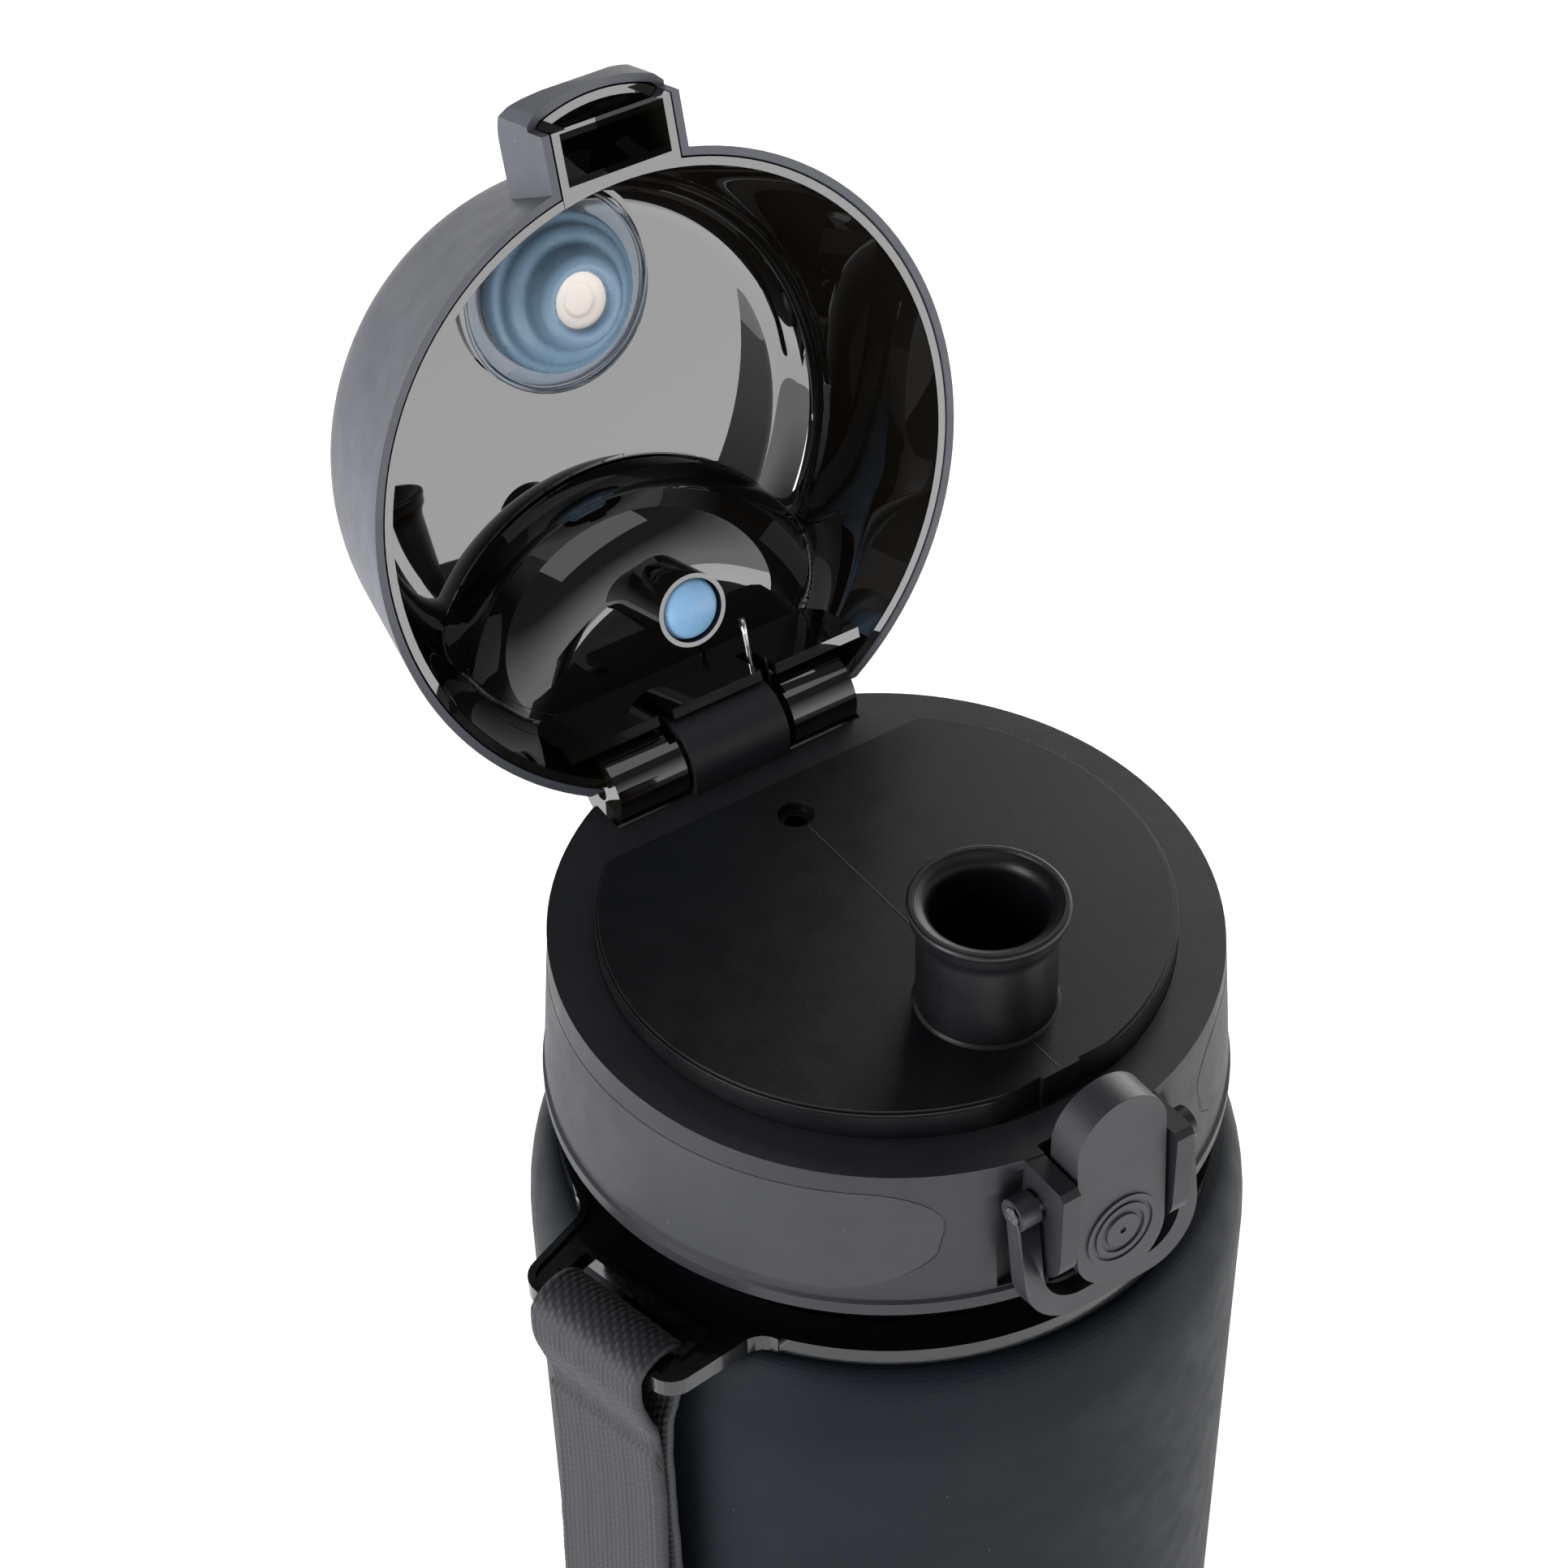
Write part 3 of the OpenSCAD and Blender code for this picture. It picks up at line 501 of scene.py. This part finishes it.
def liner_skin():
    """The polished inside of the lid: ceiling, cove, shelf and side wall in one smooth skin.

    It follows rays from the shelf's centre, with rows on the shelf's edge and on the wall."""
    rays, low_h, clear = 460, 0.6, 0.04
    angles = np.linspace(-math.pi, 0, rays)
    points = []
    for angle in angles:
        dx, dy = math.cos(angle), math.sin(angle)
        half = SHELF_Y * dy
        foot = ray_length(half, WALL_FOOT_R - WALL_SLOPE * low_h)
        head = ray_length(half, WALL_FOOT_R - WALL_SLOPE * (CEILING - CEILING_ROUND))
        inner = min(SHELF_R, head)
        flat = min(inner, SHELF_R - SHELF_ROUND)
        steps = list(np.linspace(0.5, flat, 16)[:-1])
        t = np.linspace(0, 1, 41)
        steps += list(flat + (inner - flat) * np.sin(t * math.pi / 2))
        if head > SHELF_R:
            t = np.linspace(0, 1, 70)
            steps += list(inner + (head - inner) * (1 - (1 - t) ** 1.6) ** 1.25)
        else:
            steps += [inner] * 70
        steps += list(np.linspace(head, foot, 26)[1:])
        reach = np.array(steps)
        x, y = reach * dx, SHELF_Y + reach * dy
        h = liner_height(x, y)
        for k in range(len(reach)):
            inward = Vector((-x[k], -y[k])).normalized() * clear
            points.append(((x[k] + inward.x) * MM, (y[k] + inward.y) * MM, (h[k] - clear) * MM))
    rows = len(points) // rays
    faces = []
    for i in range(rays - 1):
        for k in range(rows - 1):
            a, b = i * rows + k, (i + 1) * rows + k
            faces.append((a, a + 1, b + 1, b))
    mesh_piece("lid_liner_skin", points, faces, "liner", "lid", LID_RIM)


def plug_piece():
    """The spout's plug: a clear flange on the ceiling, a blue stepped ring and a pale pad."""
    seat = OPEN_LID @ Matrix.Translation((0, SPOUT_Y, RIM_Z + 15.2 * MM))
    nose = [(2.9, -1.3), (3.1, -2.0), (3.7, -2.2), (4.6, -1.95), (5.3, -0.9), (5.5, 0.2),
            (6.6, 0.45), (7.2, 1.0), (7.45, 1.9), (8.3, 2.25), (8.55, 3.0), (8.6, 4.3), (0, 4.3)]
    points, faces = revolved(rounded(nose, 0.5, 5), 128)
    ring = mesh_piece("spout_plug_silicone", points, faces, "plug", "lid",
                      seat)
    pad = [(0, -1.0), (1.6, -1.02), (1.9, -1.25), (2.5, -1.35), (3.3, -1.5), (3.3, 0.4), (0, 0.4)]
    points, faces = revolved(rounded(pad, 0.3, 4), 96)
    mesh_piece("spout_plug_pad", points, faces, "pad", "lid", seat)
    flange = [(8.0, 3.6), (10.3, 3.7), (10.45, 3.45), (10.75, 3.45), (10.85, 3.8), (10.8, 4.4),
              (8.0, 4.4), (8.0, 3.6)]
    points, faces = revolved(rounded(flange, 0.12, 3), 160)
    mesh_piece("spout_plug_flange", points, faces, "flange", "lid", seat)
    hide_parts("spout_plug")


def vent_piece():
    """The domed silicone plug that shuts the deck's vent."""
    dome = [(0, -0.02), (1.2, 0.06), (2.4, 0.36), (3.1, 0.85), (3.4, 1.5), (3.42, 2.6), (0, 2.6)]
    points, faces = revolved(rounded(dome, 0.6, 5), 96)
    place = OPEN_LID @ Matrix.Translation((0, VENT_Y - 0.6 * MM, DECK_TOP + 0.3 * MM))
    piece = mesh_piece("vent_plug_silicone", points, faces, "vent", "lid", place)
    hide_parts("vent_plug")


def lid_spring():
    """The torsion spring round the pin, with its free leg on the liner."""
    turns, per_turn, pitch = 6, 40, 0.95
    coil_r, wire_r, leg_x = 2.1 * MM, 0.35 * MM, 6.4
    path = []
    top = HINGE.z + coil_r
    for back in (10.6, 9.0, 7.0, 5.0, 3.0, 1.5, 0.6):
        path.append(Vector((leg_x * MM, HINGE.y - back * MM, top)))
    for i in range(turns * per_turn + 1):
        a = math.radians(90 + 360 / per_turn * i)
        path.append(Vector(((leg_x + pitch * i / per_turn) * MM, HINGE.y + coil_r * math.cos(a),
                            HINGE.z + coil_r * math.sin(a))))
    points, faces = wire_tube(path, wire_r)
    piece = mesh_piece("torsion_spring_wire", points, faces, "steel", "lid", OPEN_LID)
    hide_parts("torsion_spring")


def button_spring():
    """The coil behind the latch button, at its pressed length."""
    turns, per_turn = 4, 36
    coil_r, wire_r, length = 1.7 * MM, 0.22 * MM, 2.3 * MM
    low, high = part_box("latch_spring")
    middle = (low + high) / 2
    path = []
    for i in range(turns * per_turn + 1):
        a = math.radians(360 / per_turn * i)
        path.append(Vector((coil_r * math.cos(a),
                            high.y - wire_r - length * i / (turns * per_turn),
                            middle.z + coil_r * math.sin(a))))
    points, faces = wire_tube(path, wire_r, 10)
    piece = mesh_piece("latch_spring_wire", points, faces, "steel", "cap")
    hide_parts("latch_spring")


# ---------------------------------------------------------------- deck details

def deck_seams():
    """Fine parting lines on the deck: vent to spout, and spout to the front tongue."""
    steps = 24
    for name, start, end in (("deck_seam_back", VENT_Y - VENT_CLEAR, SPOUT_Y + SPOUT_CLEAR),
                             ("deck_seam_front", SPOUT_Y - SPOUT_CLEAR, DECK_FRONT_Y)):
        points, faces = [], []
        for i in range(steps + 1):
            y = start + (end - start) * i / steps
            for x, z in ((-0.09, -0.02), (-0.05, 0.035), (0.05, 0.035), (0.09, -0.02)):
                points.append((x * MM, y, DECK_TOP + z * MM))
        for i in range(steps):
            for k in range(3):
                a, b = 4 * i + k, 4 * (i + 1) + k
                faces.append((a, b, b + 1, a + 1))
        mesh_piece(name, points, faces, "deck", "cap")


# ---------------------------------------------------------------- the strap

STRAP_W, STRAP_T = 15.0, 1.2


def strap_line():
    """Middle line of the loop as (distance from the bottle's axis, height), closed."""
    bar = TAB_REACH / MM - 1.85
    top = RING_TOP / MM
    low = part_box("strap")[0].z / MM + STRAP_T / 2
    half = 1.85 + 0.3 + 0.15 + STRAP_T / 2
    line = [(bar + half * math.cos(math.radians(a)), top - 0.8 + 2.0 * math.sin(math.radians(a)))
            for a in range(0, 181, 12)]
    line += [(bar - half, top - 4), (bar - 1.9, top - 8), (bar - 0.9, top - 12),
             (bar - 0.75, top - 26), (bar - 1.2, top - 45), (bar - 1.8, top - 80),
             (bar - 2.0, low + 8)]
    line += [(bar + 0.4 + 2.6 * math.cos(math.radians(a)), low + 3 + 3 * math.sin(math.radians(a)))
             for a in range(180, 361, 20)]
    line += [(bar + 3, low + 10), (bar + 2.4, top - 80), (bar + 1.5, top - 45),
             (bar + 0.75, top - 26), (bar + 0.9, top - 12), (bar + 1.8, top - 8),
             (bar + half, top - 4)]
    return np.array(line)


def resampled(line, count):
    """A closed smooth curve through the line's points, at even steps."""
    n = len(line)
    dense = []
    for i in range(n):
        p0, p1, p2, p3 = (line[(i + k) % n] for k in (-1, 0, 1, 2))
        for t in np.linspace(0, 1, 24, endpoint=False):
            dense.append(0.5 * (2 * p1 + (p2 - p0) * t + (2 * p0 - 5 * p1 + 4 * p2 - p3) * t ** 2
                                + (3 * p1 - p0 - 3 * p2 + p3) * t ** 3))
    dense = np.array(dense + [dense[0]])
    along = np.concatenate([[0], np.cumsum(np.hypot(*np.diff(dense, axis=0).T))])
    at = np.linspace(0, along[-1], count, endpoint=False)
    return np.stack([np.interp(at, along, dense[:, k]) for k in (0, 1)], 1), at, along[-1]


def strap_piece():
    """Woven webbing: ribs along its length, made of short floats in brick order."""
    stations, columns, rib, float_mm, depth = 1560, 116, 0.68, 1.0, 0.17
    line, along, length = resampled(strap_line(), stations)
    tangent = np.roll(line, -1, axis=0) - np.roll(line, 1, axis=0)
    tangent /= np.linalg.norm(tangent, axis=1)[:, None]
    normal = np.stack([tangent[:, 1], -tangent[:, 0]], 1)
    seam = along_of_seam(line, along)
    half_w, half_t = STRAP_W / 2, STRAP_T / 2 - depth / 2
    across = np.linspace(-half_w, half_w, columns)
    ridge = np.floor(across / rib + 0.5)
    inside = across / rib - ridge
    points, painted_weave_shade = [], []
    for i in range(stations):
        overlap = max(0.0, min(1.0, (seam - along[i]) / 0.5 + 0.5))
        layer = 0.42 * overlap * max(0.0, min(1.0, (along[i] - 0.55 * length) / 8))
        wave = 0.12 * math.sin(along[i] * 0.21)
        for side in (1, -1):
            order = range(columns) if side == 1 else range(columns - 1, -1, -1)
            for j in order:
                edge = max(0.0, abs(across[j]) - (half_w - 0.55)) / 0.55
                body = half_t * math.sqrt(max(1 - edge ** 2, 0.02))
                phase = along[i] / float_mm + 0.5 * (ridge[j] % 2) + 0.32 * inside[j]
                bump = max(0.0, math.cos(math.pi * inside[j])) ** 0.55
                bump *= 0.30 + 0.70 * abs(math.cos(math.pi * phase)) ** 0.8
                lift = side * (body + depth * bump * (1 - 0.6 * edge))
                if side == 1:
                    lift += layer
                d, h = line[i] + normal[i] * lift
                ripple = wave * (0.5 + 0.5 * math.sin(along[i] * 0.9))
                v = across[j] + ripple * abs(across[j]) / half_w
                place = TAB_OUT * (d * MM) + TAB_ALONG * (v * MM)
                points.append((place.x, place.y, h * MM))
                painted_weave_shade.append(bump)
    around = 2 * columns
    faces = []
    for i in range(stations):
        j = (i + 1) % stations
        for k in range(around):
            m = (k + 1) % around
            faces.append((i * around + k, i * around + m, j * around + m, j * around + k))
    piece = mesh_piece("strap_webbing", points, faces, "webbing", "ring")
    # The float heights, kept for the webbing's painted shade in the gaps and painted highlight on
    # the tops.
    painted_weave_shade_layer = piece.data.attributes.new("painted_weave_shade", "FLOAT", "POINT")
    painted_weave_shade_layer.data.foreach_set("value", painted_weave_shade)
    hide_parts("strap")
    threads = loose_threads(line, normal, along, seam)


def along_of_seam(line, along):
    """Where the strap's sewn end begins on its outer strand, 39 mm under the collar's rim."""
    height = RIM_Z / MM - 39.0
    outer = [i for i in range(len(line) // 2, len(line)) if line[i][1] > height]
    return along[outer[0]]


def loose_threads(line, normal, along, seam):
    """A few frayed ends at the sewn joint."""
    pieces = []
    at = int(np.argmin(np.abs(along - seam)))
    for k in range(7):
        v = 7.3 + 0.15 * RNG.random()
        spot = line[at] + normal[at] * (0.5 + 0.25 * RNG.random())
        base = (TAB_OUT * (spot[0] * MM) + TAB_ALONG * (v * MM)
                + Vector((0, 0, (spot[1] - 0.35 * k) * MM)))
        drift = (TAB_ALONG * (0.8 + RNG.random()) + TAB_OUT * (0.6 * RNG.random() - 0.1)
                 + Vector((0, 0, RNG.random() - 0.7)))
        path = [base + drift * (t * 0.55 * MM) + Vector((0, 0, -0.5 * t * t * MM))
                for t in np.linspace(-0.5, 1.2, 12)]
        points, faces = wire_tube(path, 0.055 * MM, 6)
        pieces.append(mesh_piece(f"strap_thread_{k}", points, faces, "webbing", "ring"))
    return pieces


make_camera()
make_studio()
dress_cad_nodes()
liner_skin()
plug_piece()
vent_piece()
lid_spring()
button_spring()
deck_seams()
strap_piece()
softened("latch_button", "latch", "button", 0.22)
softened("lock_bail", "bail", "bail", 0.3)
softened("collar", "collar", "cap", 0.18)
softened("spout_deck", "deck", "cap", 0.16)
